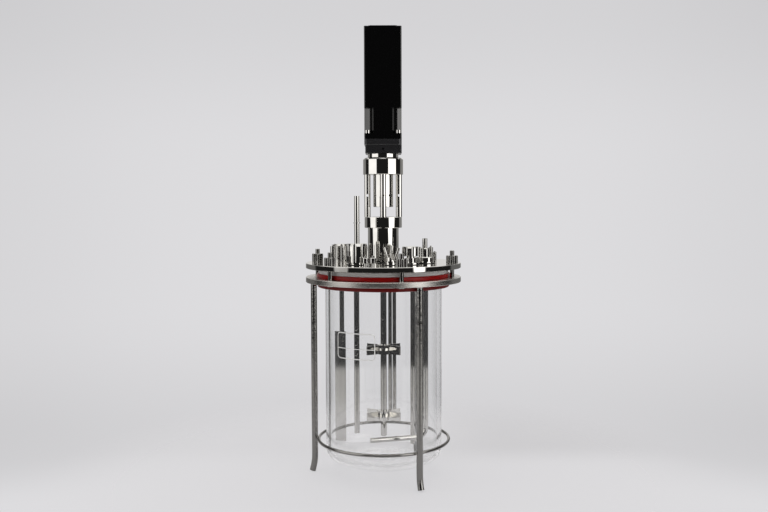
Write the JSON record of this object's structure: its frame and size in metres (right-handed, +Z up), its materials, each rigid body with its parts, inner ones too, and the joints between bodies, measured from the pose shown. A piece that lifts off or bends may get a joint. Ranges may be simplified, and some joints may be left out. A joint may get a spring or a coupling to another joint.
{
  "type": "bench bioreactor",
  "caption": "Stirred glass vessel clamped under a ported steel head plate in a legged steel stand, with a top-mounted motor, open lantern, shaft and bladed impellers.",
  "frame": {"origin": "on the floor under the vessel's axis, at the bottom centre of the whole object", "axes": "+Z up along the vessel's and the stirrer's axis, -Y to the front, where the leg next to the sampling port stands at the right"},
  "size_m": [0.25, 0.25, 0.717],
  "materials": {
    "satin_steel": "brushed stainless steel",
    "polished_steel": "mirror-polished stainless steel",
    "bright_steel": "fine-ground stainless steel",
    "glass": "clear borosilicate glass",
    "red_silicone": "smooth red silicone",
    "pale_silicone": "translucent silicone",
    "seal_rubber": "black rubber lip seal",
    "spider_rubber": "hard elastomer",
    "black_housing": "matt black powder coat",
    "grey_anodised": "dark grey anodised",
    "stator_iron": "lacquered windings on laminated iron",
    "rotor_iron": "laminated iron with magnets"
  },
  "bodies": {
    "frame": {"support_ring": "satin_steel", "leg_left": "satin_steel", "leg_front": "satin_steel", "leg_rear": "satin_steel", "lower_hoop": "satin_steel", "glass_vessel": "glass", "flange_cushion": "red_silicone", "rim_gasket": "pale_silicone", "head_plate": "polished_steel", "clamp_studs": "bright_steel", "seal_housing": "polished_steel", "bearing_outer_rings": "polished_steel", "bearing_balls": "polished_steel", "shaft_seal": "seal_rubber", "lantern_lower_ring": "polished_steel", "lantern_posts": "polished_steel", "lantern_upper_ring": "polished_steel", "adaptor_neck": "polished_steel", "adaptor_flange": "grey_anodised", "motor_adaptor": "grey_anodised", "motor_screws": "bright_steel", "motor_housing": "black_housing", "motor_end_cap": "black_housing", "motor_stator": "stator_iron", "motor_bearings": "polished_steel", "connector_box": "black_housing", "connector_socket": "bright_steel", "harvest_tube": "bright_steel", "dip_port_body": "polished_steel", "dip_tube": "bright_steel", "baffle": "bright_steel", "addition_manifold": "polished_steel", "addition_tubes": "bright_steel", "sample_port_body": "polished_steel", "sparger_port_head": "polished_steel", "sparger_tube": "bright_steel", "sensor_tube": "bright_steel", "needle_ports": "bright_steel", "port_plugs": "polished_steel"},
    "stirrer": {"agitator_shaft": "bright_steel", "impeller_upper": "polished_steel", "impeller_lower": "polished_steel", "grub_screws": "bright_steel", "bearing_inner_rings": "polished_steel", "coupling_lower_hub": "polished_steel", "coupling_spider": "spider_rubber", "coupling_upper_hub": "polished_steel", "motor_shaft": "bright_steel", "motor_rotor": "rotor_iron"},
    "nut_1": {"hand_nut_1": "polished_steel"},
    "nut_2": {"hand_nut_2": "polished_steel"},
    "nut_3": {"hand_nut_3": "polished_steel"},
    "nut_4": {"hand_nut_4": "polished_steel"},
    "nut_5": {"hand_nut_5": "polished_steel"},
    "nut_6": {"hand_nut_6": "polished_steel"},
    "dip_cap": {"dip_port_cap": "polished_steel"},
    "baffle_cap": {"baffle_port_cap": "polished_steel"},
    "sample_cap": {"sample_port_cap": "polished_steel"},
    "gas_gland": {"sparger_gland": "polished_steel"},
    "sensor_nut": {"sensor_gland": "polished_steel"}
  },
  "joints": [
    {"name": "stirrer_spin", "type": "hinge", "parent": "frame", "child": "stirrer", "pos_m": [0, 0, 0.3], "axis": [0, 0, 1], "continuous": true},
    {"name": "nut_1_turn", "type": "hinge", "parent": "frame", "child": "nut_1", "pos_m": [-0.10862, 0.03115, 0.3495], "axis": [0, 0, 1], "continuous": true},
    {"name": "nut_2_turn", "type": "hinge", "parent": "frame", "child": "nut_2", "pos_m": [-0.08129, -0.0785, 0.3495], "axis": [0, 0, 1], "continuous": true},
    {"name": "nut_3_turn", "type": "hinge", "parent": "frame", "child": "nut_3", "pos_m": [0.02734, -0.10964, 0.3495], "axis": [0, 0, 1], "continuous": true},
    {"name": "nut_4_turn", "type": "hinge", "parent": "frame", "child": "nut_4", "pos_m": [0.10862, -0.03115, 0.3495], "axis": [0, 0, 1], "continuous": true},
    {"name": "nut_5_turn", "type": "hinge", "parent": "frame", "child": "nut_5", "pos_m": [0.08129, 0.0785, 0.3495], "axis": [0, 0, 1], "continuous": true},
    {"name": "nut_6_turn", "type": "hinge", "parent": "frame", "child": "nut_6", "pos_m": [-0.02734, 0.10964, 0.3495], "axis": [0, 0, 1], "continuous": true},
    {"name": "dip_cap_turn", "type": "hinge", "parent": "frame", "child": "dip_cap", "pos_m": [-0.04078, -0.05934, 0.36], "axis": [0, 0, 1], "continuous": true},
    {"name": "baffle_cap_turn", "type": "hinge", "parent": "frame", "child": "baffle_cap", "pos_m": [-0.06955, 0.01863, 0.36], "axis": [0, 0, 1], "continuous": true},
    {"name": "sample_cap_turn", "type": "hinge", "parent": "frame", "child": "sample_cap", "pos_m": [0.04232, -0.05825, 0.36], "axis": [0, 0, 1], "continuous": true},
    {"name": "gas_gland_turn", "type": "hinge", "parent": "frame", "child": "gas_gland", "pos_m": [0.06578, -0.02928, 0.36], "axis": [0, 0, 1], "continuous": true},
    {"name": "sensor_nut_turn", "type": "hinge", "parent": "frame", "child": "sensor_nut", "pos_m": [0.01497, 0.07043, 0.36], "axis": [0, 0, 1], "continuous": true}
  ]
}
